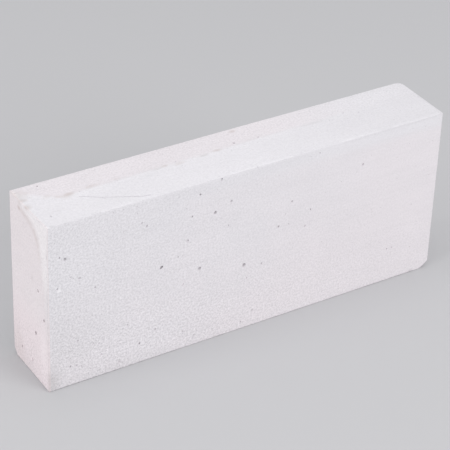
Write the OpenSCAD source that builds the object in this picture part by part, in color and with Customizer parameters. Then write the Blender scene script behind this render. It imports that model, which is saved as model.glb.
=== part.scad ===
// Aerated concrete building block, stood on its long narrow side.
// X runs along the length, Y from the front face to the back face, Z up.
// The origin is the middle of the base.

/* [Block] */
// Length of the block
block_length = 600; // [400:1:650]
// Thickness of the block, from front face to back face
block_thickness = 100; // [75:1:300]
// Height of the block as it stands
block_height = 250; // [200:1:300]
// Radius of the eased arrises
arris_radius = 1.2; // [0.5:0.1:3]

/* [Lower right front corner, broken off] */
// Reach of the break along the length
front_break_length = 15; // [4:1:30]
// Reach of the break along the thickness
front_break_thickness = 14; // [4:1:30]
// Reach of the break up the height
front_break_height = 11; // [4:1:30]
// Flatness of the broken face, 1 for the roundest
front_break_flatness = 3; // [1:0.1:4]

/* [Lower left back corner, broken off] */
// Reach of the break along the length
back_break_length = 10; // [4:1:30]
// Reach of the break along the thickness
back_break_thickness = 10; // [4:1:30]
// Reach of the break up the height
back_break_height = 12; // [4:1:30]
// Flatness of the broken face, 1 for the roundest
back_break_flatness = 2.5; // [1:0.1:4]

/* [Upper right back corner, worn round] */
// Reach of the wear along the length
worn_corner_length = 8; // [4:1:30]
// Reach of the wear along the thickness
worn_corner_thickness = 13; // [4:1:30]
// Reach of the wear down the height
worn_corner_height = 8; // [4:1:30]
// Flatness of the worn face, 1 for the roundest
worn_corner_flatness = 1; // [1:0.1:4]

/* [Wire step along the top] */
// Depth of the front band below the back band at the left end
step_depth_left = 0.7; // [0.3:0.1:3]
// Depth of the front band below the back band at the right end
step_depth_right = 0.1; // [0.1:0.1:3]
// Width of the back band at the left end
back_band_end = 8; // [4:1:20]
// Distance from the left end to where the back band is widest
back_band_turn = 48; // [20:1:80]
// Width of the back band there
back_band_left = 44; // [20:1:60]
// Width of the back band at the right end
back_band_right = 33; // [20:1:60]

/* [Worn border of the left end] */
// Width of the border from the front edge, beside its inner corner
border_front = 20; // [8:1:30]
// Width of the border from the top edge, above its inner corner
border_top = 14; // [8:1:30]
// Radius of the border's inner corner
border_radius = 30; // [10:1:44]
// Angle at which the border narrows down the front edge
border_front_taper = 9; // [0:1:20]
// Angle at which the border narrows back along the top edge
border_top_taper = 16; // [0:1:20]
// Fall of the border at the front edge
border_fall = 1.0; // [0.5:0.1:4]

/* [Hidden] */
$fn = 96;

// Overshoot of a cut past the faces that it opens
overshoot = 5;

// Colour of the dry concrete
concrete_colour = [0.87, 0.86, 0.88];

// Middle of the border's inner corner on the left end
border_middle_y = border_front + border_radius - block_thickness / 2;
border_middle_z = block_height - border_top - border_radius;

// Distance over which the border keeps falling, past the end's upper front corner
border_run = norm([border_front + border_radius, border_top + border_radius]);
border_slope = border_fall / border_front;

// Rectangle about the origin with its corners eased
module eased_rectangle(width, height) {
    square([width - 2 * arris_radius, height], center = true);
    square([width, height - 2 * arris_radius], center = true);
    for (x = [-1, 1], y = [-1, 1])
        translate([x * (width / 2 - arris_radius), y * (height / 2 - arris_radius)])
            circle(arris_radius);
}

// The block as cut, with every arris eased
module eased_block() {
    translate([0, 0, block_height / 2])
        intersection() {
            linear_extrude(block_height, center = true)
                eased_rectangle(block_length, block_thickness);
            rotate([90, 0, 0])
                linear_extrude(block_thickness, center = true)
                    eased_rectangle(block_length, block_height);
            rotate([90, 0, 90])
                linear_extrude(block_length, center = true)
                    eased_rectangle(block_thickness, block_height);
        }
}

// What is missing from a corner at the origin of a block that fills the positive octant.
// A ball meets the corner's three edges at the reaches, and what lies outside it is gone.
// The corner's power to the ball, at least the longest reach squared, sets how flat the face is.
module corner_loss(reach, flatness) {
    power = pow(flatness * max(reach), 2);
    middle = [for (r = reach) (r + power / r) / 2];
    radius = sqrt(middle * middle - power);
    difference() {
        translate([-overshoot, -overshoot, -overshoot])
            cube(reach + [overshoot, overshoot, overshoot]);
        translate(middle)
            sphere(radius);
    }
}

// A loss moved to one corner: side is -1 or 1 along the length, the thickness and the height
module at_corner(side) {
    translate([
        side[0] * block_length / 2,
        side[1] * block_thickness / 2,
        (1 + side[2]) * block_height / 2
    ])
        mirror([side[0] > 0 ? 1 : 0, 0, 0])
            mirror([0, side[1] > 0 ? 1 : 0, 0])
                mirror([0, 0, side[2] > 0 ? 1 : 0])
                    children();
}

// Where the front band of the top ends behind, for a back band of a given width
function band_edge(width) = block_thickness / 2 - width;

// What the second pass of the wire took off the front band of the top
module wire_step() {
    step_slope = atan2(step_depth_left - step_depth_right, block_length);
    half_length = block_length / 2;
    half_span = half_length + overshoot;
    front_edge = -block_thickness / 2 - overshoot;
    translate([0, 0, block_height - (step_depth_left + step_depth_right) / 2])
        rotate([0, -step_slope, 0])
            linear_extrude(overshoot)
                polygon([
                    [-half_span, front_edge],
                    [half_span, front_edge],
                    [half_span, band_edge(back_band_right)],
                    [half_length, band_edge(back_band_right)],
                    [back_band_turn - half_length, band_edge(back_band_left)],
                    [-half_length, band_edge(back_band_end)],
                    [-half_span, band_edge(back_band_end)]
                ]);
}

// Section through the border's cut, from its inner line outwards
module border_section() {
    polygon([
        [border_radius, 0],
        [border_radius + border_run, -border_run * border_slope],
        [border_radius + border_run, overshoot],
        [border_radius, overshoot]
    ]);
}

// What is worn off the left end: round its upper front corner, down the front edge and back along the top edge
module end_border() {
    translate([-block_length / 2, border_middle_y, border_middle_z])
        rotate([90, 0, -90]) {
            rotate(border_front_taper) {
                rotate_extrude(angle = 90 - border_front_taper - border_top_taper)
                    border_section();
                translate([0, overshoot, 0])
                    rotate([90, 0, 0])
                        linear_extrude(block_height)
                            border_section();
            }
            rotate(90 - border_top_taper)
                translate([0, block_thickness - overshoot, 0])
                    rotate([90, 0, 0])
                        linear_extrude(block_thickness)
                            border_section();
        }
}

module block() {
    color(concrete_colour)
        difference() {
            eased_block();
            wire_step();
            end_border();
            at_corner([1, -1, -1])
                corner_loss(
                    [front_break_length, front_break_thickness, front_break_height],
                    front_break_flatness
                );
            at_corner([-1, 1, -1])
                corner_loss(
                    [back_break_length, back_break_thickness, back_break_height],
                    back_break_flatness
                );
            at_corner([1, 1, 1])
                corner_loss(
                    [worn_corner_length, worn_corner_thickness, worn_corner_height],
                    worn_corner_flatness
                );
        }
}

block();
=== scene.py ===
"""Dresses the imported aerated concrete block: its worn skin, its finish, its light and its camera."""

import logging
import math
import random
from dataclasses import dataclass, field
from enum import Enum
from typing import NamedTuple

import bmesh
import bpy
import numpy as np
from mathutils import Euler, Matrix, Vector, noise
from mathutils.bvhtree import BVHTree


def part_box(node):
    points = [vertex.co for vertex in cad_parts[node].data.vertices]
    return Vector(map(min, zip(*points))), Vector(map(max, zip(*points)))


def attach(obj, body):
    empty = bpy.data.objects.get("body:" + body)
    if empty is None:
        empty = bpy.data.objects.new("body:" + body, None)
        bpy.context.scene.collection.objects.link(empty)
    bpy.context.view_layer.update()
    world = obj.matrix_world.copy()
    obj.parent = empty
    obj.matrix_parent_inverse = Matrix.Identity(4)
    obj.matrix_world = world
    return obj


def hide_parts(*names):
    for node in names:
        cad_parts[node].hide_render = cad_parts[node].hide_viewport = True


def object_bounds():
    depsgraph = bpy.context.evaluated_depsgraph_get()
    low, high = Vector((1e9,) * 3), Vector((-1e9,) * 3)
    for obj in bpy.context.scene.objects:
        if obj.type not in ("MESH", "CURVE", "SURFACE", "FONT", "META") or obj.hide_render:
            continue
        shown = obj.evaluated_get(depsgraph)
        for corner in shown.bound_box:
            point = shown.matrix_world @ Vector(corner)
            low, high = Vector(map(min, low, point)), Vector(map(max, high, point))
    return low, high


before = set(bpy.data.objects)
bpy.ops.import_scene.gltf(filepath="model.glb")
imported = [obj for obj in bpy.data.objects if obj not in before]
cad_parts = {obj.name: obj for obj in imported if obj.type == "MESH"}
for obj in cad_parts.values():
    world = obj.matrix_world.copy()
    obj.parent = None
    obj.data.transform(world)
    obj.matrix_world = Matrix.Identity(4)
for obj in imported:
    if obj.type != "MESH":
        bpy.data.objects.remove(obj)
CAD_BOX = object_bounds()

log = logging.getLogger("aerated_concrete_block")

MM = 0.001
PHOTO_WIDTH = 450.0
BLOCK_NODE = "block"
BLOCK_SLOT = "aerated_concrete"
CUT_FACE = "cut_face"
BLOCK_MIDDLE = (CAD_BOX[0] + CAD_BOX[1]) / 2
ELSEWHERE = -1.0

Socket = bpy.types.NodeSocket
Value = float | Socket
Triple = tuple[float, float, float]
Colour = tuple[float, float, float, float]


class Pixel(NamedTuple):
    """A place in the photograph, in pixels from its upper left corner."""

    x: float
    y: float


class Fade(NamedTuple):
    """A smooth change from start, which holds up to low, to end, which holds from high on."""

    low: float
    high: float
    start: float
    end: float


class Lumps(NamedTuple):
    """A random pattern: how many lumps go into a metre, and how many finer layers are added."""

    scale: float
    detail: float


def outward(azimuth: float, elevation: float) -> Vector:
    """Gives the direction from the block to something round it.

    Args:
        azimuth: the turn to the right of the front, in degrees.
        elevation: the rise above level, in degrees.

    Returns:
        A direction of length 1.
    """
    turn = math.radians(azimuth)
    rise = math.radians(elevation)
    level = math.cos(rise)
    return Vector((math.sin(turn) * level, -math.cos(turn) * level, math.sin(rise)))


def add_object(name: str, data: bpy.types.ID) -> bpy.types.Object:
    """Puts a new object into the scene.

    Args:
        name: the object's name.
        data: its mesh, curve, light or camera.

    Returns:
        The object.
    """
    made = bpy.data.objects.new(name, data)
    bpy.context.scene.collection.objects.link(made)
    return made


@dataclass(frozen=True)
class PhotoCamera:
    """The camera that took the photograph, fitted to the outline of the block.

    Angles are in degrees, the lens and sensor in millimetres, the rest in metres.
    """

    azimuth: float = -32.62
    elevation: float = 32.83
    roll: float = 2.20
    lens: float = 151.98
    sensor: float = 36.0
    distance: float = 2.5327
    aim_right: float = -0.0090
    aim_up: float = 0.0076

    def axes(self) -> Matrix:
        """Works out how the camera is turned.

        Returns:
            A turn whose columns are the camera's right, up and backward directions.
        """
        back = outward(self.azimuth, self.elevation)
        level = Vector((0, 0, 1)).cross(back).normalized()
        upright = Matrix((level, back.cross(level), back)).transposed()
        return upright @ Matrix.Rotation(math.radians(self.roll), 3, "Z")

    def place(self) -> Vector:
        """Gives the camera's place, from the middle of the block."""
        right, up, back = self.axes().transposed()
        return BLOCK_MIDDLE + right * self.aim_right + up * self.aim_up + back * self.distance

    def ray(self, pixel: Pixel) -> Vector:
        """Gives the direction in which the camera sees a pixel.

        Args:
            pixel: the place in the photograph.

        Returns:
            A direction of length 1 that leaves the camera.
        """
        per_pixel = self.sensor / self.lens / PHOTO_WIDTH
        middle = PHOTO_WIDTH / 2
        seen = Vector(((pixel.x - middle) * per_pixel, (middle - pixel.y) * per_pixel, -1))
        return (self.axes() @ seen).normalized()

    def meets(self, solid: BVHTree, pixel: Pixel) -> tuple[Vector, Vector]:
        """Finds what the camera sees at a pixel.

        Args:
            solid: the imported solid's surface.
            pixel: the place in the photograph.

        Returns:
            The place on the block and the outward normal there.
        """
        place, normal, _, _ = solid.ray_cast(self.place(), self.ray(pixel))
        return place, normal

    def build(self) -> bpy.types.Object:
        """Makes the camera and gives it to the scene.

        Returns:
            The camera object.
        """
        data = bpy.data.cameras.new("photo_camera")
        data.lens = self.lens
        data.sensor_width = self.sensor
        camera = add_object("photo_camera", data)
        camera.matrix_world = Matrix.Translation(self.place()) @ self.axes().to_4x4()
        bpy.context.scene.camera = camera
        return camera


class SkinValue(Enum):
    """The numbers that the skin's mesh holds at each point, in metres."""

    PORE_DEPTH = "pore_depth"
    BEHIND_STEP = "behind_step"
    OUTSIDE_BORDER = "outside_border"
    FROM_ARRIS = "from_arris"


def from_faces(points: np.ndarray) -> np.ndarray:
    """Measures how far points are from the block's faces.

    Args:
        points: one point in each row.

    Returns:
        For each point the distances from the nearest face along each axis, least first.
    """
    low, high = (np.array(corner) for corner in CAD_BOX)
    return np.sort(np.minimum(points - low, high - points), axis=1)


class Graph:
    """A material's nodes, with one short method for each kind that the finishes use."""

    def __init__(self, name: str) -> None:
        """Makes a material with a bare shader.

        Args:
            name: the material's name.
        """
        self.material = bpy.data.materials.new(name)
        self.material.use_nodes = True
        self.tree = self.material.node_tree
        self.shader = self.tree.nodes["Principled BSDF"]

    def node(self, kind: str, **settings: object) -> bpy.types.Node:
        """Adds a node.

        Args:
            kind: the node's type.
            settings: the node's own settings, by name.

        Returns:
            The new node.
        """
        made = self.tree.nodes.new(kind)
        for name, value in settings.items():
            setattr(made, name, value)
        return made

    def feed(self, socket: Socket, value: object) -> None:
        """Links a socket to another, or sets it to a plain value.

        Args:
            socket: the socket that is fed.
            value: another socket, or a plain value.
        """
        if isinstance(value, Socket):
            self.tree.links.new(value, socket)
        else:
            socket.default_value = value

    def place(self) -> Socket:
        """Gives the place on the piece, in metres."""
        return self.node("ShaderNodeTexCoord").outputs["Object"]

    def skin(self, value: SkinValue) -> Socket:
        """Gives a number that the mesh holds at each point."""
        return self.node("ShaderNodeAttribute", attribute_name=value.value).outputs["Fac"]

    def parts(self, vector: Socket) -> tuple[Socket, Socket, Socket]:
        """Takes a vector apart.

        Args:
            vector: the vector.

        Returns:
            Its parts along the length, the thickness and the height.
        """
        made = self.node("ShaderNodeSeparateXYZ")
        self.feed(made.inputs["Vector"], vector)
        return made.outputs["X"], made.outputs["Y"], made.outputs["Z"]

    def maths(self, operation: str, *values: Value) -> Socket:
        """Works out one number from others.

        Args:
            operation: what is worked out.
            values: numbers or sockets, in order.

        Returns:
            The result.
        """
        made = self.node("ShaderNodeMath", operation=operation)
        for socket, value in zip(made.inputs, values):
            self.feed(socket, value)
        return made.outputs[0]

    def product(self, first: Value, *others: Value) -> Socket:
        """Multiplies numbers.

        Args:
            first: a number or socket.
            others: what it is multiplied by.

        Returns:
            The product.
        """
        for other in others:
            first = self.maths("MULTIPLY", first, other)
        return first

    def vector(self, operation: str, *values: object) -> Socket:
        """Works out a vector, or a length, from others.

        Args:
            operation: what is worked out.
            values: vectors or sockets, in order.

        Returns:
            The result.
        """
        made = self.node("ShaderNodeVectorMath", operation=operation)
        for socket, value in zip(made.inputs, values):
            self.feed(socket, value)
        return made.outputs["Value" if operation in ("LENGTH", "DOT_PRODUCT") else "Vector"]

    def noise(self, at: Socket, lumps: Lumps) -> Socket:
        """Gives a smooth random number about 0.5.

        Args:
            at: where it is read.
            lumps: how fine the pattern is.

        Returns:
            The number.
        """
        made = self.node("ShaderNodeTexNoise")
        self.feed(made.inputs["Vector"], at)
        self.feed(made.inputs["Scale"], lumps.scale)
        self.feed(made.inputs["Detail"], lumps.detail)
        return made.outputs["Fac"]

    def cells(self, at: Socket, scale: float) -> bpy.types.Node:
        """Scatters points at random.

        Args:
            at: where they are read.
            scale: how many of them go into a metre.

        Returns:
            A node with the nearest point's distance and a random colour of its own.
        """
        made = self.node("ShaderNodeTexVoronoi")
        self.feed(made.inputs["Vector"], at)
        self.feed(made.inputs["Scale"], scale)
        return made

    def ramp(self, value: Value, low: Value, high: Value, start: Value, end: Value) -> Socket:
        """Goes smoothly from start to end as a value goes from low to high.

        Args:
            value: the number that is read.
            low: where the change begins.
            high: where it ends.
            start: the result up to low.
            end: the result from high on.

        Returns:
            The result.
        """
        made = self.node("ShaderNodeMapRange", interpolation_type="SMOOTHSTEP")
        for socket, given in zip(made.inputs, (value, low, high, start, end)):
            self.feed(socket, given)
        return made.outputs["Result"]

    def blend(self, share: Value, start: Value, end: Value) -> Socket:
        """Goes evenly from start to end as a share goes from 0 to 1."""
        return self.maths("MULTIPLY_ADD", share, self.maths("SUBTRACT", end, start), start)

    def stray(self, value: Socket, amount: Value) -> Socket:
        """Turns a random number about 0.5 into a factor about 1 that strays by an amount."""
        centred = self.maths("MULTIPLY_ADD", value, 2.0, -1.0)
        return self.maths("MULTIPLY_ADD", centred, amount, 1.0)

    def tint(self, share: Value, colour: object, other: object) -> Socket:
        """Mixes a share of another colour into a colour.

        Args:
            share: how much of the other colour there is, from 0 to 1.
            colour: the colour with no share.
            other: the colour at a share of 1.

        Returns:
            The mixed colour.
        """
        made = self.node("ShaderNodeMix", data_type="RGBA")
        ends = {socket.identifier: socket for socket in (*made.inputs, *made.outputs)}
        self.feed(ends["Factor_Float"], share)
        self.feed(ends["A_Color"], colour)
        self.feed(ends["B_Color"], other)
        return ends["Result_Color"]

    def bump(self, height: Socket) -> Socket:
        """Turns a height into a normal for the shader.

        Args:
            height: the height in metres.

        Returns:
            The normal.
        """
        made = self.node("ShaderNodeBump")
        made.inputs["Distance"].default_value = 1.0
        self.feed(made.inputs["Height"], height)
        return made.outputs["Normal"]


@dataclass(frozen=True)
class WireStep:
    """The step along the top that the wire left, between a front band and a higher back band.

    The widths are the back band's, at the left end, at its turn and at the right end. All is in
    metres, apart from kept_share, which is a share of kept_run.
    """

    end_width: float = 8.0 * MM
    turn: float = 48.0 * MM
    left_width: float = 44.0 * MM
    right_width: float = 33.0 * MM
    left_depth: float = 0.7 * MM
    right_depth: float = 0.1 * MM
    worn_run: float = 6.0 * MM
    kept_run: float = 3.0 * MM
    kept_share: float = 0.5
    slack: float = 0.02 * MM
    skin: float = 3.5 * MM

    def behind(self, points: np.ndarray) -> np.ndarray:
        """Works out how far points of the top lie behind the step.

        Args:
            points: one point in each row.

        Returns:
            The distance of each, and a far one in front for a point that isn't on the top.
        """
        low, high = CAD_BOX
        turns = (low.x, low.x + self.turn, high.x)
        widths = np.interp(points[:, 0], turns, (self.end_width, self.left_width, self.right_width))
        away = points[:, 1] - (high.y - widths)
        return np.where(points[:, 2] > high.z - self.skin, away, ELSEWHERE)

    def rise(self, points: np.ndarray) -> np.ndarray:
        """Works out how far points rise where the step's sharp edge is worn to a gentle slope.

        Args:
            points: one point in each row.

        Returns:
            The rise of each, the whole depth at the step and none away from it or at the two ends.
        """
        low, high = CAD_BOX
        along = points[:, 0]
        depth = np.interp(along, (low.x, high.x), (self.left_depth, self.right_depth))
        away = self.behind(points)
        share = np.clip(1 + away / self.worn_run, 0, 1)
        smooth = share * share * (3 - 2 * share)
        from_end = np.minimum(along - low.x, high.x - along)
        inward = np.clip(from_end / self.kept_run - self.kept_share, 0, 1)
        below = high.z - points[:, 2]
        on_wall = (np.abs(away) < self.slack) & (below < depth + self.slack)
        in_front = (away < 0) & (below > depth - self.slack)
        return np.where(on_wall, below, np.where(in_front, depth * smooth, 0.0)) * inward


@dataclass(frozen=True)
class EndBorder:
    """The worn border of the left end, along its front and top edges.

    Widths are from the edges to the border's inner line, which turns round a corner and then
    nears both edges again at the two tapers. Lengths are in metres, tapers in degrees.
    """

    front: float = 20.0 * MM
    top: float = 14.0 * MM
    radius: float = 30.0 * MM
    front_taper: float = 9.0
    top_taper: float = 16.0
    skin: float = 3.5 * MM

    def outside(self, points: np.ndarray) -> np.ndarray:
        """Works out how far points of the left end lie outside the border's inner line.

        Args:
            points: one point in each row.

        Returns:
            The distance of each, and a far one inside for a point that isn't on the left end.
        """
        low, high = CAD_BOX
        across = low.y + self.front + self.radius - points[:, 1]
        above = points[:, 2] - (high.z - self.top - self.radius)
        limits = np.radians((self.front_taper, 90 - self.top_taper))
        angle = np.clip(np.arctan2(above, across), *limits)
        away = across * np.cos(angle) + above * np.sin(angle) - self.radius
        return np.where(points[:, 0] < low.x + self.skin, away, ELSEWHERE)


class SeenPore(Enum):
    """The single pores that the photograph shows: pixel across, pixel down, width in millimetres."""

    FRONT_LOW_LEFT = (161.5, 267.5, 5.9)
    FRONT_LOW_MIDDLE = (199.5, 268.5, 5.4)
    FRONT_LOW_RIGHT = (244.0, 265.0, 6.5)
    FRONT_CENTRE = (215.5, 212.5, 5.0)
    FRONT_NEAR_LEFT_EDGE = (65.0, 259.5, 5.2)
    FRONT_MID_LEFT = (188.0, 241.0, 4.3)
    FRONT_UPPER_RIGHT_OF_CENTRE = (231.5, 201.5, 4.3)
    FRONT_UPPER_LEFT_OF_CENTRE = (200.5, 194.5, 3.5)
    FRONT_MID_RIGHT = (278.5, 226.5, 4.1)
    FRONT_UNDER_TOP_EDGE = (222.0, 179.5, 4.6)
    FRONT_FAR_RIGHT = (363.0, 164.5, 4.2)
    FRONT_LOW_RIGHT_BESIDE = (261.5, 263.5, 3.4)
    FRONT_RIGHT_UPPER = (292.0, 201.5, 3.4)
    FRONT_RIGHT_MIDDLE = (310.5, 209.5, 3.2)
    FRONT_RIGHT_LOWER = (305.0, 226.0, 3.9)
    FRONT_LEFT_EDGE_BESIDE = (59.5, 258.0, 2.8)
    FRONT_LEFT_LOWER = (79.5, 278.5, 4.2)
    FRONT_LEFT_LOWEST = (95.0, 287.5, 3.2)
    FRONT_LEFT_UPPER = (147.0, 226.0, 3.6)
    FRONT_LEFT_UPPER_BESIDE = (142.0, 223.0, 2.5)
    FRONT_ABOVE_MID_LEFT = (192.5, 216.5, 3.3)
    FRONT_BELOW_CENTRE = (228.5, 225.5, 2.9)
    FRONT_MID_RIGHT_BESIDE = (288.5, 224.0, 3.0)
    FRONT_BOTTOM_LEFT = (139.5, 343.5, 3.5)
    FRONT_BOTTOM_MIDDLE = (182.5, 331.5, 2.9)
    FRONT_BOTTOM_RIGHT = (252.0, 310.0, 2.7)
    FRONT_BOTTOM_CENTRE = (154.9, 329.3, 3.8)
    FRONT_BOTTOM_BESIDE = (193.7, 335.0, 2.7)
    FRONT_BOTTOM_FAR_RIGHT = (240.1, 321.6, 2.6)
    FRONT_BASE_FIRST = (70.4, 366.3, 2.8)
    FRONT_BASE_SECOND = (76.5, 365.4, 2.8)
    FRONT_BASE_THIRD = (81.5, 366.1, 2.2)
    FRONT_BASE_FOURTH = (101.8, 354.2, 2.9)
    FRONT_BASE_FIFTH = (119.1, 361.8, 4.4)
    FRONT_BELOW_LEFT_FIRST = (77.8, 340.7, 3.0)
    FRONT_BELOW_LEFT_SECOND = (93.6, 343.5, 3.4)
    FRONT_BELOW_LEFT_THIRD = (99.0, 343.5, 2.7)
    FRONT_BELOW_LEFT_FOURTH = (127.4, 325.0, 2.4)
    FRONT_BESIDE_GRAIN = (57.2, 289.2, 3.0)
    FRONT_LEFT_OF_LOW = (178.1, 257.0, 2.7)
    FRONT_UPPER_LEFT = (137.0, 207.0, 2.7)
    FRONT_UNDER_TOP_MIDDLE = (257.5, 166.8, 2.7)
    FRONT_LOWER_MIDDLE = (183.0, 284.5, 3.8)
    FRONT_LOWER_RIGHT = (246.5, 278.0, 3.4)
    FRONT_CORNER_FIRST = (386.5, 249.0, 3.4)
    FRONT_CORNER_SECOND = (391.5, 247.5, 2.9)
    FRONT_CORNER_THIRD = (395.0, 249.0, 2.2)
    FRONT_TOP_RIGHT = (320.0, 153.0, 2.8)
    TOP_MIDDLE_FIRST = (234.0, 143.0, 3.6)
    TOP_MIDDLE_SECOND = (258.0, 137.0, 3.0)
    TOP_RIGHT_FIRST = (359.0, 112.0, 3.4)
    TOP_RIGHT_SECOND = (343.0, 113.0, 2.9)
    TOP_LEFT_FIRST = (51.0, 216.0, 3.6)
    TOP_LEFT_SECOND = (37.0, 186.0, 3.4)
    END_SCUFF = (38.0, 291.0, 5.0)
    END_LOW = (36.0, 333.0, 6.2)
    END_FRONT = (44.0, 321.0, 4.9)
    END_LOW_BACK = (22.3, 346.0, 4.0)
    END_BASE = (32.6, 359.7, 4.8)

    def __init__(self, across: float, down: float, width: float) -> None:
        """Keeps the pore's pixel, and its width in metres."""
        self.pixel = Pixel(across, down)
        self.width = width * MM


class ScratchPath(Enum):
    """The fine lines that the photograph shows.

    Each has the pixels that it passes, and how deep the middle of the rod that is taken out for it
    lies, in millimetres.
    """

    TOP_HAIRLINE = ((Pixel(79, 196.2), Pixel(105, 197.2), Pixel(131, 196.4)), 0.50)
    TOP_HAIRLINE_END = ((Pixel(131.5, 196.4), Pixel(142, 196.2), Pixel(151, 194.6)), 0.60)

    def __init__(self, pixels: tuple[Pixel, ...], depth: float) -> None:
        """Keeps the line's pixels, and its rod's depth in metres."""
        self.pixels = pixels
        self.depth = depth * MM


class Bubble(NamedTuple):
    """One gas bubble that the saw or the wire cut open."""

    middle: Vector
    radius: float
    turn: Euler
    squash: Vector


@dataclass
class PoreField:
    """Every bubble that is cut open in the block's faces.

    Lengths are in metres, counts are of bubbles, shares are of a bubble's radius.
    """

    solid: BVHTree
    triangles: list[tuple[Vector, Vector, Vector]]
    camera: PhotoCamera
    seed: int = 27
    wide_count: int = 110
    wide_width: tuple[float, float] = (2.6 * MM, 6.0 * MM)
    small_count: int = 2900
    small_width: tuple[float, float] = (0.8 * MM, 1.8 * MM)
    sunk_share: tuple[float, float] = (0.0, 0.40)
    squash_share: tuple[float, float] = (0.65, 0.95)
    lean: float = 0.35
    lean_spread: float = 0.5
    wall: float = 0.35 * MM
    wide_clear: float = 9.0 * MM
    small_clear: float = 4.0 * MM
    small_bias: int = 3
    coarse_ball: int = 1
    fine_ball: int = 2
    fine_ball_from: float = 1.3 * MM
    cell: float = 8.0 * MM
    bubbles: list[Bubble] = field(default_factory=list)
    taken: dict[tuple[int, int, int], list[Bubble]] = field(default_factory=dict)

    def __post_init__(self) -> None:
        """Starts the random draws and weighs the triangles by their area."""
        self.draw = random.Random(self.seed)
        areas = [(b - a).cross(c - a).length for a, b, c in self.triangles]
        self.shares = np.cumsum(areas) / sum(areas)

    def surface_point(self) -> tuple[Vector, Vector]:
        """Picks a random place on the block.

        Returns:
            The place and the outward normal there.
        """
        a, b, c = self.triangles[int(np.searchsorted(self.shares, self.draw.random()))]
        u = self.draw.random()
        v = self.draw.random()
        if u + v > 1:
            u, v = 1 - u, 1 - v
        return a + (b - a) * u + (c - a) * v, (b - a).cross(c - a).normalized()

    def is_hidden(self, point: Vector, normal: Vector) -> bool:
        """Tells whether a place is on a face that the photograph hides."""
        return normal.dot(self.camera.place() - point) < 0

    def add(self, point: Vector, normal: Vector, width: float) -> bool:
        """Adds a bubble whose mouth has about a given width, unless it would meet another.

        Args:
            point: the middle of the mouth.
            normal: the outward normal there.
            width: the width of the mouth.

        Returns:
            Whether there was room for it.
        """
        sunk = self.draw.uniform(*self.sunk_share)
        radius = width / 2 / math.sqrt(1 - sunk * sunk)
        stray = [self.draw.uniform(-self.lean_spread, self.lean_spread) for _ in range(3)]
        turn = Euler((stray[0], self.lean + stray[1], stray[2]))
        squash = Vector((*(self.draw.uniform(*self.squash_share) for _ in range(2)), 1.0))
        bubble = Bubble(point - normal * sunk * radius, radius, turn, squash)
        home = tuple(math.floor(x / self.cell) for x in bubble.middle)
        for offset in np.ndindex(3, 3, 3):
            for other in self.taken.get(tuple(h + o - 1 for h, o in zip(home, offset)), ()):
                if (other.middle - bubble.middle).length < other.radius + radius + self.wall:
                    return False
        self.taken.setdefault(home, []).append(bubble)
        self.bubbles.append(bubble)
        return True

    def open_seen(self) -> None:
        """Opens the pores that the photograph shows, each where its pixel meets the block."""
        for pore in SeenPore:
            point, normal = self.camera.meets(self.solid, pore.pixel)
            self.add(point, normal, pore.width)

    def open_scattered(
        self, count: int, width: tuple[float, float], clear: float, hidden: bool
    ) -> None:
        """Opens pores at random places, more small ones than wide ones.

        Args:
            count: how many places are tried.
            width: the least and the greatest width.
            clear: how far they stay from the arrises.
            hidden: whether the faces that the photograph shows are left out.
        """
        least, most = width
        for _ in range(count):
            point, normal = self.surface_point()
            share = self.draw.random() ** self.small_bias
            if from_faces(np.array([point]))[0, 1] < clear:
                continue
            if hidden and not self.is_hidden(point, normal):
                continue
            self.add(point, normal, least + (most - least) * share)

    def open_all(self) -> None:
        """Opens the seen pores, then wide ones on the hidden faces, then small ones everywhere."""
        self.open_seen()
        self.open_scattered(self.wide_count, self.wide_width, self.wide_clear, True)
        self.open_scattered(self.small_count, self.small_width, self.small_clear, False)

    def cutter(self) -> bpy.types.Object:
        """Joins all the bubbles into one mesh.

        Returns:
            An object to be taken out of the block.
        """
        points = []
        faces = []
        balls = {level: self.ball(level) for level in (self.coarse_ball, self.fine_ball)}
        start = 0
        for bubble in self.bubbles:
            is_wide = bubble.radius > self.fine_ball_from
            shape, sides = balls[self.fine_ball if is_wide else self.coarse_ball]
            turn = np.array(bubble.turn.to_matrix() @ Matrix.Diagonal(bubble.squash))
            points.append(shape @ turn.T * bubble.radius + np.array(bubble.middle))
            faces.append(sides + start)
            start += len(shape)
        mesh = bpy.data.meshes.new("bubbles")
        mesh.from_pydata(np.concatenate(points).tolist(), [], np.concatenate(faces).tolist())
        return add_object("bubbles", mesh)

    @staticmethod
    def ball(level: int) -> tuple[np.ndarray, np.ndarray]:
        """Makes a ball of radius 1.

        Args:
            level: how finely it is divided.

        Returns:
            Its points and its triangles.
        """
        shape = bmesh.new()
        bmesh.ops.create_icosphere(shape, subdivisions=level, radius=1.0)
        points = np.array([v.co[:] for v in shape.verts])
        sides = np.array([[v.index for v in f.verts] for f in shape.faces])
        shape.free()
        return points, sides


class StainShadeAndLightColour(Enum):
    """The colours of the stain marks and of the painted shade and light, linear red, green and blue.
    """

    BROWN = (0.50, 0.42, 0.38, 1.0)
    GREY = (0.46, 0.43, 0.42, 1.0)
    # the colour of a painted highlight
    PALE = (0.94, 0.92, 0.94, 1.0)
    # the colour of the painted light on the end's lower border
    PINK = (0.91, 0.84, 0.86, 1.0)


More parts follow.
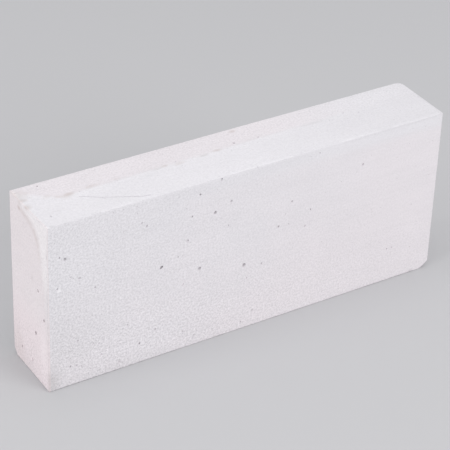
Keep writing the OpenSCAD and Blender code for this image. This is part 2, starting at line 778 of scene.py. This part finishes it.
class StainShadeAndLightPatch(Enum):
    """The soft stain marks that the photograph shows, and soft patches of painted shade and light.

    Each has its pixel, its reach along the length, the thickness and the height in millimetres,
    its colour and how strong it is in its middle.
    """

    TOP_BACK_CORNER = (18.5, 195.5, (20, 18, 3), StainShadeAndLightColour.BROWN, 0.28)
    STEP_END = (22.5, 200.7, (8, 7, 10), StainShadeAndLightColour.BROWN, 0.36)
    STEP_LEFT = (46.5, 197.0, (10, 6, 10), StainShadeAndLightColour.BROWN, 0.20)
    STEP_TURN = (57.0, 196.7, (8, 5, 10), StainShadeAndLightColour.BROWN, 0.24)
    STEP_SMEAR = (66.5, 196.0, (14, 8, 10), StainShadeAndLightColour.BROWN, 0.30)
    STEP_FIRST = (70.0, 193.7, (12, 6, 10), StainShadeAndLightColour.BROWN, 0.32)
    STEP_SECOND = (91.0, 186.0, (13, 5, 10), StainShadeAndLightColour.BROWN, 0.28)
    STEP_THIRD = (116.0, 178.8, (9, 4, 10), StainShadeAndLightColour.BROWN, 0.14)
    STEP_FOURTH = (157.5, 169.0, (12, 4, 10), StainShadeAndLightColour.GREY, 0.20)
    STEP_FIFTH = (165.0, 166.2, (7, 4, 10), StainShadeAndLightColour.BROWN, 0.32)
    STEP_SIXTH = (180.0, 163.2, (14, 5, 10), StainShadeAndLightColour.BROWN, 0.26)
    STEP_SEVENTH = (203.7, 155.5, (10, 4, 10), StainShadeAndLightColour.GREY, 0.34)
    STEP_EIGHTH = (217.0, 150.5, (11, 4, 10), StainShadeAndLightColour.BROWN, 0.36)
    # partly grime and partly painted shade: the step's faint line on its right half
    STEP_LONG = (312.0, 123.5, (36, 4, 10), StainShadeAndLightColour.GREY, 0.16)
    BACK_EDGE = (232.0, 131.5, (8, 5, 6), StainShadeAndLightColour.BROWN, 0.40)
    TOP_SMEAR = (56.5, 211.0, (9, 3, 10), StainShadeAndLightColour.GREY, 0.14)
    # painted highlight: the lit lower wall of the pore beside it
    PALE_GRAIN = (58.8, 291.0, (4, 4, 4), StainShadeAndLightColour.PALE, 0.9)
    # painted shade: FRONT_CORNER, FRONT_LOW_LEFT and FRONT_BASE darken the front towards its lower
    # left and its foot
    FRONT_CORNER = (52.0, 382.5, (20, 4, 33), StainShadeAndLightColour.GREY, 0.36)
    FRONT_LOW_LEFT = (64.0, 350.0, (75, 20, 110), StainShadeAndLightColour.GREY, 0.09)
    FRONT_BASE = (115.0, 370.0, (110, 20, 28), StainShadeAndLightColour.GREY, 0.10)
    END_TOP_FIRST = (18.7, 207.7, (6, 6, 5), StainShadeAndLightColour.BROWN, 0.46)
    END_TOP_SECOND = (26.0, 207.5, (10, 9, 6), StainShadeAndLightColour.BROWN, 0.40)
    END_SCUFF = (32.0, 278.0, (8, 5, 9), StainShadeAndLightColour.GREY, 0.20)
    # painted shade: END_BACK and END_BASE darken the end towards its foot
    END_BACK = (19.0, 347.0, (20, 30, 48), StainShadeAndLightColour.BROWN, 0.19)
    END_BASE = (30.0, 367.0, (20, 34, 20), StainShadeAndLightColour.GREY, 0.12)
    # painted light: lightens the lower part of the end's sloping border beside the front arris
    END_STRIP = (44.0, 350.0, (8, 17, 70), StainShadeAndLightColour.PINK, 0.55)

    def __init__(
        self, across: float, down: float, reach: Triple, paint: StainShadeAndLightColour, strength: float
    ) -> None:
        """Keeps the mark's pixel, reach in metres, colour and strength.

        Args:
            across: the pixels from the left.
            down: the pixels from the top.
            reach: the reach along the length, the thickness and the height in millimetres.
            paint: the colour.
            strength: the share of the colour in the mark's middle.
        """
        self.pixel = Pixel(across, down)
        self.reach = Vector(reach) * MM
        self.colour = paint.value
        self.strength = strength


@dataclass(frozen=True)
class AeratedConcrete:
    """The finish of dry aerated concrete: matt, near white, grainy and finely pored.

    Colours are linear red, green and blue, lengths are in metres, tones and shares are fractions.
    A fade goes by the place along the length, the thickness or the height or along a given way, by
    a random number, or by a number that the skin holds.
    """

    cool: Colour = (0.770, 0.755, 0.780, 1.0)
    warm: Colour = (0.788, 0.750, 0.773, 1.0)
    end_hue: Colour = (0.803, 0.748, 0.762, 1.0)
    foot_hue: Colour = (0.818, 0.740, 0.758, 1.0)
    border_hue: Colour = (0.800, 0.768, 0.778, 1.0)
    # painted shade: the dark colour that pores, scratches and fine pits are tinted towards, for the
    # shade inside them
    painted_pore_shade: Colour = (0.36, 0.34, 0.35, 1.0)
    roughness: float = 0.93
    specular: float = 0.25
    top_mask: Fade = Fade(-0.5, -0.2, 0.0, 1.0)
    end_mask: Fade = Fade(-0.5, -0.3, 0.0, 1.0)
    waver: Lumps = Lumps(45.0, 2.0)
    waver_reach: float = 5.0 * MM
    grain: Lumps = Lumps(360.0, 3.0)
    grain_tone: float = 0.17
    grain_height: float = 0.22 * MM
    speck: Lumps = Lumps(900.0, 1.0)
    speck_tone: float = 0.08
    speck_height: float = 0.05 * MM
    pit_scale: float = 330.0
    pit_reach: Fade = Fade(0.35, 1.0, 0.02, 0.34)
    pit_core: float = 0.4
    # painted shade: the share of that dark colour in a fine pit's middle
    pit_painted_shade: float = 0.25
    pit_height: float = 0.25 * MM
    # painted shade: how dark a pore or scratch is tinted as it deepens
    pore_depth: Fade = Fade(0.4 * MM, 2.4 * MM, 0.0, 0.50)
    coarse_way: Triple = (-1.0, 0.0, -1.0)
    coarse: Fade = Fade(-0.45, 0.30, 0.50, 2.1)
    low_coarse: Fade = Fade(0.04, 0.12, 1.35, 1.0)
    top_coarse: Fade = Fade(-20.0 * MM, 20.0 * MM, 0.65, 1.1)
    end_coarse: Fade = Fade(0.02, 0.10, 1.8, 0.8)
    warm_way: Triple = (1.0, 0.0, -1.5)
    warm_cloud: Lumps = Lumps(9.0, 2.0)
    warm_cloud_pull: float = 0.5
    warm_share: Fade = Fade(-0.35, 0.35, 0.0, 1.0)
    warm_below: Fade = Fade(0.224, 0.240, 1.0, 0.0)
    warm_back: Fade = Fade(-4.0 * MM, 4.0 * MM, 0.0, 1.0)
    warm_left: Fade = Fade(0.05, 0.25, 1.0, 0.0)
    foot_share: Fade = Fade(0.06, 0.13, 1.0, 0.0)
    border_share: Fade = Fade(-6.0 * MM, 12.0 * MM, 0.0, 1.0)
    streak: Lumps = Lumps(1.0, 2.0)
    streak_scale: Triple = (9.0, 40.0, 110.0)
    streak_tone: float = 0.03
    cloud: Lumps = Lumps(18.0, 3.0)
    cloud_tone: float = 0.03
    front_tone: Fade = Fade(0.0, 0.3, 1.012, 0.976)
    back_tone: Fade = Fade(-0.1, 0.25, 0.980, 0.990)
    back_share: Fade = Fade(-3.0 * MM, 3.0 * MM, 0.0, 1.0)
    # painted light: the end's sloping border is lightened for the light that its slope catches
    border_painted_light: float = 1.07
    border_light_share: Fade = Fade(-3.0 * MM, 10.0 * MM, 0.0, 1.0)
    border_light_above: Fade = Fade(0.12, 0.19, 0.0, 1.0)
    # painted light: the front just under the top is lightened at the right, so that it shades into the
    # top as a rounded arris would
    upper_painted_light: float = 1.018
    upper_right: Fade = Fade(0.0, 0.15, 0.0, 1.0)
    upper_above: Fade = Fade(0.222, 0.240, 0.0, 1.0)
    # painted shade: the arrises are darkened, to damp the highlight that the lamps put on them
    arris_painted_shade: Fade = Fade(0.3 * MM, 1.6 * MM, 0.935, 1.0)
    gaps: Lumps = Lumps(70.0, 3.0)
    gap_share: Fade = Fade(0.35, 0.60, 0.15, 1.0)
    # the step's faint line: partly grime and partly painted shade of the worn-down step
    crease_share: Fade = Fade(0.0, 3.0 * MM, 0.07, 0.0)
    crease_left: Fade = Fade(0.05, 0.20, 1.0, 0.2)
    # the border's inner line: partly grime and partly painted shade of a groove that is not cut
    arc_inward: float = 2.5 * MM
    arc_share: Fade = Fade(0.0, 8.0 * MM, 0.26, 0.0)
    arc_above: Fade = Fade(0.18, 0.215, 0.0, 1.0)
    arc_before: Fade = Fade(0.016, 0.032, 1.0, 0.0)
    rim_lumps: Lumps = Lumps(140.0, 3.0)
    rim_grain: Lumps = Lumps(360.0, 1.0)
    rim_grain_share: float = 0.9
    rim_least: float = 0.05

    def material(self, stains_and_shade: dict[StainShadeAndLightPatch, Vector]) -> bpy.types.Material:
        """Makes the material.

        Args:
            stains_and_shade: the place on the block of each stain mark and each patch of painted shade
                and light.

        Returns:
            The material.
        """
        graph = Graph(BLOCK_SLOT)
        at = graph.place()
        coarse = self.coarseness(graph, at)
        grain = graph.noise(at, self.grain)
        speck = graph.noise(at, self.speck)
        pit = graph.product(self.pits(graph, at), coarse)
        tone = graph.product(
            graph.stray(grain, graph.product(coarse, self.grain_tone)),
            graph.stray(speck, graph.product(coarse, self.speck_tone)),
            self.broad_tone(graph, at),
        )
        colour = graph.vector("SCALE", self.hue(graph, at))
        graph.feed(colour.node.inputs["Scale"], tone)
        # painted shade in the fine pits, which are only bumped, not cut
        colour = graph.tint(graph.product(pit, self.pit_painted_shade), colour, self.painted_pore_shade)
        colour = self.stained_and_shaded(graph, at, colour, stains_and_shade)
        # painted shade: the deeper a point lies in a pore or scratch, the darker it is tinted
        depth = graph.ramp(graph.skin(SkinValue.PORE_DEPTH), *self.pore_depth)
        colour = graph.tint(depth, colour, self.painted_pore_shade)
        graph.feed(graph.shader.inputs["Base Color"], colour)
        graph.shader.inputs["Roughness"].default_value = self.roughness
        graph.shader.inputs["Specular IOR Level"].default_value = self.specular
        height = graph.product(grain, self.grain_height, coarse)
        height = graph.maths("MULTIPLY_ADD", speck, self.speck_height, height)
        height = graph.maths("MULTIPLY_ADD", pit, -self.pit_height, height)
        graph.feed(graph.shader.inputs["Normal"], graph.bump(height))
        return graph.material

    def on_top(self, graph: Graph) -> Socket:
        """Gives 1 on the top and 0 elsewhere."""
        return graph.ramp(graph.skin(SkinValue.BEHIND_STEP), *self.top_mask)

    def on_end(self, graph: Graph) -> Socket:
        """Gives 1 on the left end and 0 elsewhere."""
        return graph.ramp(graph.skin(SkinValue.OUTSIDE_BORDER), *self.end_mask)

    def wavering(self, graph: Graph, at: Socket, value: SkinValue) -> Socket:
        """Gives a number that the mesh holds, made to waver a little from place to place."""
        uneven = graph.maths("MULTIPLY_ADD", graph.noise(at, self.waver), 2.0, -1.0)
        return graph.maths("MULTIPLY_ADD", uneven, self.waver_reach, graph.skin(value))

    def coarseness(self, graph: Graph, at: Socket) -> Socket:
        """Works out how coarse the grain is: most at the lower left, least on the top's front band.

        Args:
            graph: the material's nodes.
            at: the place on the piece.

        Returns:
            A factor about 1.
        """
        _, _, z = graph.parts(at)
        coarse = graph.ramp(graph.vector("DOT_PRODUCT", at, self.coarse_way), *self.coarse)
        coarse = graph.product(coarse, graph.ramp(z, *self.low_coarse))
        top = graph.ramp(graph.skin(SkinValue.BEHIND_STEP), *self.top_coarse)
        end = graph.ramp(z, *self.end_coarse)
        coarse = graph.blend(self.on_top(graph), coarse, top)
        return graph.blend(self.on_end(graph), coarse, end)

    def pits(self, graph: Graph, at: Socket) -> Socket:
        """Scatters pits too fine to be cut, each of its own width.

        Args:
            graph: the material's nodes.
            at: the place on the piece.

        Returns:
            1 in the middle of a pit, 0 between pits.
        """
        cells = graph.cells(at, self.pit_scale)
        reach = graph.ramp(cells.outputs["Color"], *self.pit_reach)
        core = graph.product(reach, self.pit_core)
        return graph.ramp(cells.outputs["Distance"], core, reach, 1.0, 0.0)

    def hue(self, graph: Graph, at: Socket) -> Socket:
        """Works out the clean concrete's colour.

        It is cooler to the upper left and just under the top, and warmer low down and on the end.
        The top is warmer only at the left of its back band.

        Args:
            graph: the material's nodes.
            at: the place on the piece.

        Returns:
            The colour.
        """
        x, _, z = graph.parts(at)
        toward = graph.vector("DOT_PRODUCT", at, self.warm_way)
        cloud = graph.noise(at, self.warm_cloud)
        warmth = graph.maths("MULTIPLY_ADD", cloud, self.warm_cloud_pull, toward)
        share = graph.product(graph.ramp(warmth, *self.warm_share), graph.ramp(z, *self.warm_below))
        back = graph.product(
            graph.ramp(graph.skin(SkinValue.BEHIND_STEP), *self.warm_back),
            graph.ramp(x, *self.warm_left),
        )
        colour = graph.tint(graph.blend(self.on_top(graph), share, back), self.cool, self.warm)
        end = graph.tint(graph.ramp(z, *self.foot_share), self.end_hue, self.foot_hue)
        outside = graph.ramp(graph.skin(SkinValue.OUTSIDE_BORDER), *self.border_share)
        end = graph.tint(outside, end, self.border_hue)
        return graph.tint(self.on_end(graph), colour, end)

    def broad_tone(self, graph: Graph, at: Socket) -> Socket:
        """Works out how light the concrete is.

        There are faint streaks and clouds, and two bands on the top. Painted light brightens the end's
        sloping border and a strip of the front just under the top at the upper right, and painted
        shade darkens the arrises.

        Args:
            graph: the material's nodes.
            at: the place on the piece.

        Returns:
            A factor about 1.
        """
        x, _, z = graph.parts(at)
        streak = graph.noise(graph.vector("MULTIPLY", at, self.streak_scale), self.streak)
        cloud = graph.noise(at, self.cloud)
        front = graph.ramp(x, *self.front_tone)
        back = graph.ramp(x, *self.back_tone)
        behind = self.wavering(graph, at, SkinValue.BEHIND_STEP)
        band = graph.blend(graph.ramp(behind, *self.back_share), front, back)
        # painted light on the front just under the top at the right
        upper = graph.product(graph.ramp(x, *self.upper_right), graph.ramp(z, *self.upper_above))
        upper = graph.blend(upper, 1.0, self.upper_painted_light)
        # painted light on the end's sloping border
        bright = graph.ramp(self.wavering(graph, at, SkinValue.OUTSIDE_BORDER), *self.border_light_share)
        bright = graph.product(bright, graph.ramp(z, *self.border_light_above))
        return graph.product(
            graph.stray(streak, self.streak_tone),
            graph.stray(cloud, self.cloud_tone),
            graph.blend(self.on_top(graph), upper, band),
            graph.blend(bright, 1.0, self.border_painted_light),
            # painted shade on the arrises
            graph.ramp(graph.skin(SkinValue.FROM_ARRIS), *self.arris_painted_shade),
        )

    def stained_and_shaded(
        self, graph: Graph, at: Socket, colour: Socket, stains_and_shade: dict[StainShadeAndLightPatch, Vector]
    ) -> Socket:
        """Lays the step's faint line, the border's inner line, the stain marks and the painted shade
        and light over a colour.

        Args:
            graph: the material's nodes.
            at: the place on the piece.
            colour: the clean concrete.
            stains_and_shade: the place on the block of each stain mark and each patch of painted shade
                and light.

        Returns:
            The colour with its stain marks and its painted shade and light.
        """
        x, y, z = graph.parts(at)
        broken = graph.ramp(graph.noise(at, self.gaps), *self.gap_share)
        # the step's faint line, partly grime and partly painted shade of the step
        crease = graph.maths("ABSOLUTE", graph.skin(SkinValue.BEHIND_STEP))
        crease = graph.ramp(crease, *self.crease_share)
        crease = graph.product(crease, broken, graph.ramp(x, *self.crease_left))
        colour = graph.tint(crease, colour, StainShadeAndLightColour.GREY.value)
        # the border's inner line, partly grime and partly painted shade of a groove
        arc = self.wavering(graph, at, SkinValue.OUTSIDE_BORDER)
        arc = graph.maths("ABSOLUTE", graph.maths("ADD", arc, self.arc_inward))
        arc = graph.product(
            graph.ramp(arc, *self.arc_share),
            broken,
            graph.ramp(z, *self.arc_above),
            graph.ramp(y, *self.arc_before),
        )
        colour = graph.tint(arc, colour, StainShadeAndLightColour.BROWN.value)
        grainy = graph.noise(at, self.rim_grain)
        rim = graph.maths("MULTIPLY_ADD", grainy, self.rim_grain_share, self.rim_least)
        rim = graph.maths("ADD", graph.noise(at, self.rim_lumps), rim)
        # each is a stain mark, a patch of painted shade or a patch of painted light
        for spot, place in stains_and_shade.items():
            away = graph.vector("SUBTRACT", at, place[:])
            away = graph.vector("LENGTH", graph.vector("DIVIDE", away, spot.reach[:]))
            share = graph.ramp(graph.maths("DIVIDE", away, rim), 0.0, 1.0, spot.strength, 0.0)
            colour = graph.tint(share, colour, spot.colour)
        return colour


@dataclass
class Block:
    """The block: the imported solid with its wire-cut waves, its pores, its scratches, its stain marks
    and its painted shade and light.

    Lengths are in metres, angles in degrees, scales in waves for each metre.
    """

    camera: PhotoCamera
    finish: AeratedConcrete = field(default_factory=AeratedConcrete)
    step: WireStep = field(default_factory=WireStep)
    border: EndBorder = field(default_factory=EndBorder)
    weld: float = 0.005 * MM
    flat_angle: float = 0.01
    pitch: float = 5.0 * MM
    wave_height: float = 0.25 * MM
    wave_scale: Triple = (12.0, 18.0, 30.0)
    arris_reach: float = 2.5 * MM
    arris_wear: float = 0.35 * MM
    arris_gain: float = 5.0
    arris_scale: float = 70.0
    scratch_width: float = 1.4 * MM
    crisp_angle: float = 32.0

    def solid_copy(self) -> bmesh.types.BMesh:
        """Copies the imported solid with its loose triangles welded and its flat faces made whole.

        Returns:
            A closed mesh.
        """
        shape = bmesh.new()
        shape.from_mesh(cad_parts[BLOCK_NODE].data)
        bmesh.ops.remove_doubles(shape, verts=shape.verts[:], dist=self.weld)
        bmesh.ops.dissolve_limit(
            shape,
            angle_limit=math.radians(self.flat_angle),
            verts=shape.verts[:],
            edges=shape.edges[:],
        )
        return shape

    def cut_grid(self, shape: bmesh.types.BMesh) -> None:
        """Cuts every face into cells of about the pitch, so that it can be bent.

        Args:
            shape: the mesh to be cut.
        """
        low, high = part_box(BLOCK_NODE)
        for axis in range(3):
            count = round((high[axis] - low[axis]) / self.pitch)
            normal = Vector.Fill(3, 0.0)
            normal[axis] = 1.0
            for k in range(1, count):
                bmesh.ops.bisect_plane(
                    shape,
                    geom=shape.verts[:] + shape.edges[:] + shape.faces[:],
                    plane_co=low.lerp(high, k / count),
                    plane_no=normal,
                )

    def soften_step(self, shape: bmesh.types.BMesh) -> None:
        """Wears the step's sharp edge down to a gentle slope.

        Args:
            shape: the mesh to be bent.
        """
        points = np.array([point.co[:] for point in shape.verts])
        for point, rise in zip(shape.verts, self.step.rise(points)):
            point.co.z += rise
        bmesh.ops.remove_doubles(shape, verts=shape.verts[:], dist=self.weld)

    def weather(self, shape: bmesh.types.BMesh) -> None:
        """Sinks every point a little into the block: gentle waves on the faces, wear on the arrises.

        Args:
            shape: the mesh to be bent.
        """
        shape.normal_update()
        near = from_faces(np.array([point.co[:] for point in shape.verts]))[:, 1] < self.arris_reach
        moves = []
        for point, on_arris in zip(shape.verts, near):
            wave = noise.noise(point.co * Vector(self.wave_scale))
            sink = self.wave_height * (1 + wave) / 2
            if on_arris:
                edge = 1 - max(abs(x) for x in point.normal)
                chip = noise.noise(point.co * self.arris_scale)
                sink += self.arris_wear * min(1.0, edge * self.arris_gain) * max(0.0, chip)
            moves.append(point.normal * -sink)
        for point, move in zip(shape.verts, moves):
            point.co += move

    def scratches(self, solid: BVHTree) -> list[bpy.types.Object]:
        """Makes a thin rod along each scratch, to be taken out of the block.

        Args:
            solid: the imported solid's surface.

        Returns:
            The rods.
        """
        rods = []
        for path in ScratchPath:
            name = path.name.lower()
            curve = bpy.data.curves.new(name, "CURVE")
            curve.dimensions = "3D"
            curve.bevel_depth = self.scratch_width / 2
            curve.bevel_resolution = 1
            curve.use_fill_caps = True
            spline = curve.splines.new("POLY")
            spline.points.add(len(path.pixels) - 1)
            for point, pixel in zip(spline.points, path.pixels):
                place, normal = self.camera.meets(solid, pixel)
                point.co = (*(place - normal * path.depth), 1.0)
            drawn = add_object(name, curve)
            mesh = self.baked(drawn)
            bpy.data.objects.remove(drawn)
            shape = bmesh.new()
            shape.from_mesh(mesh)
            bmesh.ops.remove_doubles(shape, verts=shape.verts[:], dist=self.weld)
            bmesh.ops.recalc_face_normals(shape, faces=shape.faces[:])
            shape.to_mesh(mesh)
            shape.free()
            rods.append(add_object(name, mesh))
        return rods

    @staticmethod
    def baked(piece: bpy.types.Object) -> bpy.types.Mesh:
        """Applies a piece's modifiers to a copy of its mesh.

        Args:
            piece: the piece, which stays as it is.

        Returns:
            The new mesh.
        """
        bpy.context.view_layer.update()
        graph = bpy.context.evaluated_depsgraph_get()
        return bpy.data.meshes.new_from_object(piece.evaluated_get(graph))

    def carve(self, piece: bpy.types.Object, cutter: bpy.types.Object) -> None:
        """Takes a cutter out of a piece and throws the cutter away.

        Args:
            piece: what is cut.
            cutter: what is taken out of it.
        """
        mark = cutter.data.attributes.new(CUT_FACE, "BOOLEAN", "FACE")
        mark.data.foreach_set("value", [True] * len(mark.data))
        cut = piece.modifiers.new("cut", "BOOLEAN")
        cut.operation = "DIFFERENCE"
        cut.solver = "MANIFOLD"
        cut.object = cutter
        mesh = self.baked(piece)
        piece.modifiers.clear()
        piece.data = mesh
        bpy.data.objects.remove(cutter)

    def shade(self, mesh: bpy.types.Mesh) -> None:
        """Shades a mesh smoothly, with crisp arrises and a crisp rim round what was cut out of it.

        Args:
            mesh: the carved mesh.
        """
        mesh.shade_smooth()
        mesh.set_sharp_from_angle(angle=math.radians(self.crisp_angle))
        shape = bmesh.new()
        shape.from_mesh(mesh)
        cut = shape.faces.layers.bool[CUT_FACE]
        for edge in shape.edges:
            if len({face[cut] for face in edge.link_faces}) > 1:
                edge.smooth = False
        shape.to_mesh(mesh)
        shape.free()

    def measure(self, mesh: bpy.types.Mesh, solid: BVHTree) -> None:
        """Stores at each point the numbers that the finish reads.

        Args:
            mesh: the carved mesh.
            solid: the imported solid's surface.
        """
        points = np.array([point.co[:] for point in mesh.vertices])
        values = {
            SkinValue.PORE_DEPTH: [solid.find_nearest(point)[3] for point in points],
            SkinValue.BEHIND_STEP: self.step.behind(points),
            SkinValue.OUTSIDE_BORDER: self.border.outside(points),
            SkinValue.FROM_ARRIS: from_faces(points)[:, 1],
        }
        for kind, numbers in values.items():
            mesh.attributes.new(kind.value, "FLOAT", "POINT").data.foreach_set("value", numbers)

    def skin(self, solid: BVHTree, shape: bmesh.types.BMesh) -> bpy.types.Object:
        """Makes the block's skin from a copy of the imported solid.

        Args:
            solid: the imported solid's surface.
            shape: the copy, which is used up.

        Returns:
            The carved piece, without its finish.
        """
        triangles = [
            tuple(corner.vert.co.copy() for corner in side) for side in shape.calc_loop_triangles()
        ]
        self.cut_grid(shape)
        self.soften_step(shape)
        self.weather(shape)
        mesh = bpy.data.meshes.new("block_skin")
        shape.to_mesh(mesh)
        shape.free()
        piece = add_object("block_skin", mesh)
        pores = PoreField(solid, triangles, self.camera)
        pores.open_all()
        self.carve(piece, pores.cutter())
        for rod in self.scratches(solid):
            self.carve(piece, rod)
        self.shade(piece.data)
        self.measure(piece.data, solid)
        return piece

    def build(self) -> bpy.types.Object:
        """Builds the block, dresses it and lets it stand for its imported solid.

        Returns:
            The finished piece.
        """
        shape = self.solid_copy()
        solid = BVHTree.FromBMesh(shape)
        piece = self.skin(solid, shape)
        stains_and_shade = {spot: self.camera.meets(solid, spot.pixel)[0] for spot in StainShadeAndLightPatch}
        piece.data.materials.clear()
        piece.data.materials.append(self.finish.material(stains_and_shade))
        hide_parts(BLOCK_NODE)
        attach(piece, "root")
        return piece


class SoftLight(Enum):
    """The studio's soft lights.

    Each has its azimuth and elevation in degrees as seen from the block, and its power in watts.
    """

    KEY = (25.0, 26.0, 55.5)
    LEFT = (-85.0, 22.0, 47.5)
    TOP = (0.0, 88.0, 18.0)


@dataclass(frozen=True)
class Studio:
    """A plain pale floor, soft lights and an even sky.

    Lengths are in metres, colours linear.
    """

    floor_size: float = 60.0
    floor_colour: Colour = (0.56, 0.56, 0.57, 1.0)
    floor_roughness: float = 0.9
    floor_specular: float = 0.1
    sky_colour: Colour = (0.98, 0.98, 1.0, 1.0)
    sky_strength: float = 0.72
    light_distance: float = 4.0
    light_size: float = 2.6

    def floor(self) -> bpy.types.Object:
        """Lays the floor.

        Returns:
            The floor object.
        """
        shape = bmesh.new()
        bmesh.ops.create_grid(shape, x_segments=2, y_segments=2, size=self.floor_size / 2)
        mesh = bpy.data.meshes.new("floor")
        shape.to_mesh(mesh)
        shape.free()
        graph = Graph("floor_paint")
        graph.shader.inputs["Base Color"].default_value = self.floor_colour
        graph.shader.inputs["Roughness"].default_value = self.floor_roughness
        graph.shader.inputs["Specular IOR Level"].default_value = self.floor_specular
        mesh.materials.append(graph.material)
        floor = add_object("floor", mesh)
        return floor

    def light(self, kind: SoftLight) -> bpy.types.Object:
        """Hangs one soft light that faces the block.

        Args:
            kind: which light it is.

        Returns:
            The light object.
        """
        azimuth, elevation, power = kind.value
        out = outward(azimuth, elevation)
        data = bpy.data.lights.new(kind.name.lower() + "_light", "AREA")
        data.shape = "DISK"
        data.size = self.light_size
        data.energy = power
        light = add_object(data.name, data)
        light.location = BLOCK_MIDDLE + out * self.light_distance
        light.rotation_mode = "QUATERNION"
        light.rotation_quaternion = (-out).to_track_quat("-Z", "Y")
        return light

    def sky(self) -> bpy.types.World:
        """Makes the even light that comes from all round.

        Returns:
            The scene's world.
        """
        world = bpy.data.worlds.new("studio_sky")
        world.use_nodes = True
        ground = world.node_tree.nodes["Background"]
        ground.inputs["Color"].default_value = self.sky_colour
        ground.inputs["Strength"].default_value = self.sky_strength
        bpy.context.scene.world = world
        return world

    def build(self) -> None:
        """Sets up the floor, the lights, the sky and the plain view of colours."""
        self.floor()
        for kind in SoftLight:
            self.light(kind)
        self.sky()
        bpy.context.scene.view_settings.view_transform = "Standard"


def main() -> None:
    """Builds the camera, the studio and the block."""
    logging.basicConfig(level=logging.INFO, format="%(name)s: %(message)s")
    camera = PhotoCamera()
    camera.build()
    Studio().build()
    piece = Block(camera).build()
    piece.data.calc_loop_triangles()
    log.info("%s: %d triangles", piece.name, len(piece.data.loop_triangles))


if __name__ == "__main__":
    main()
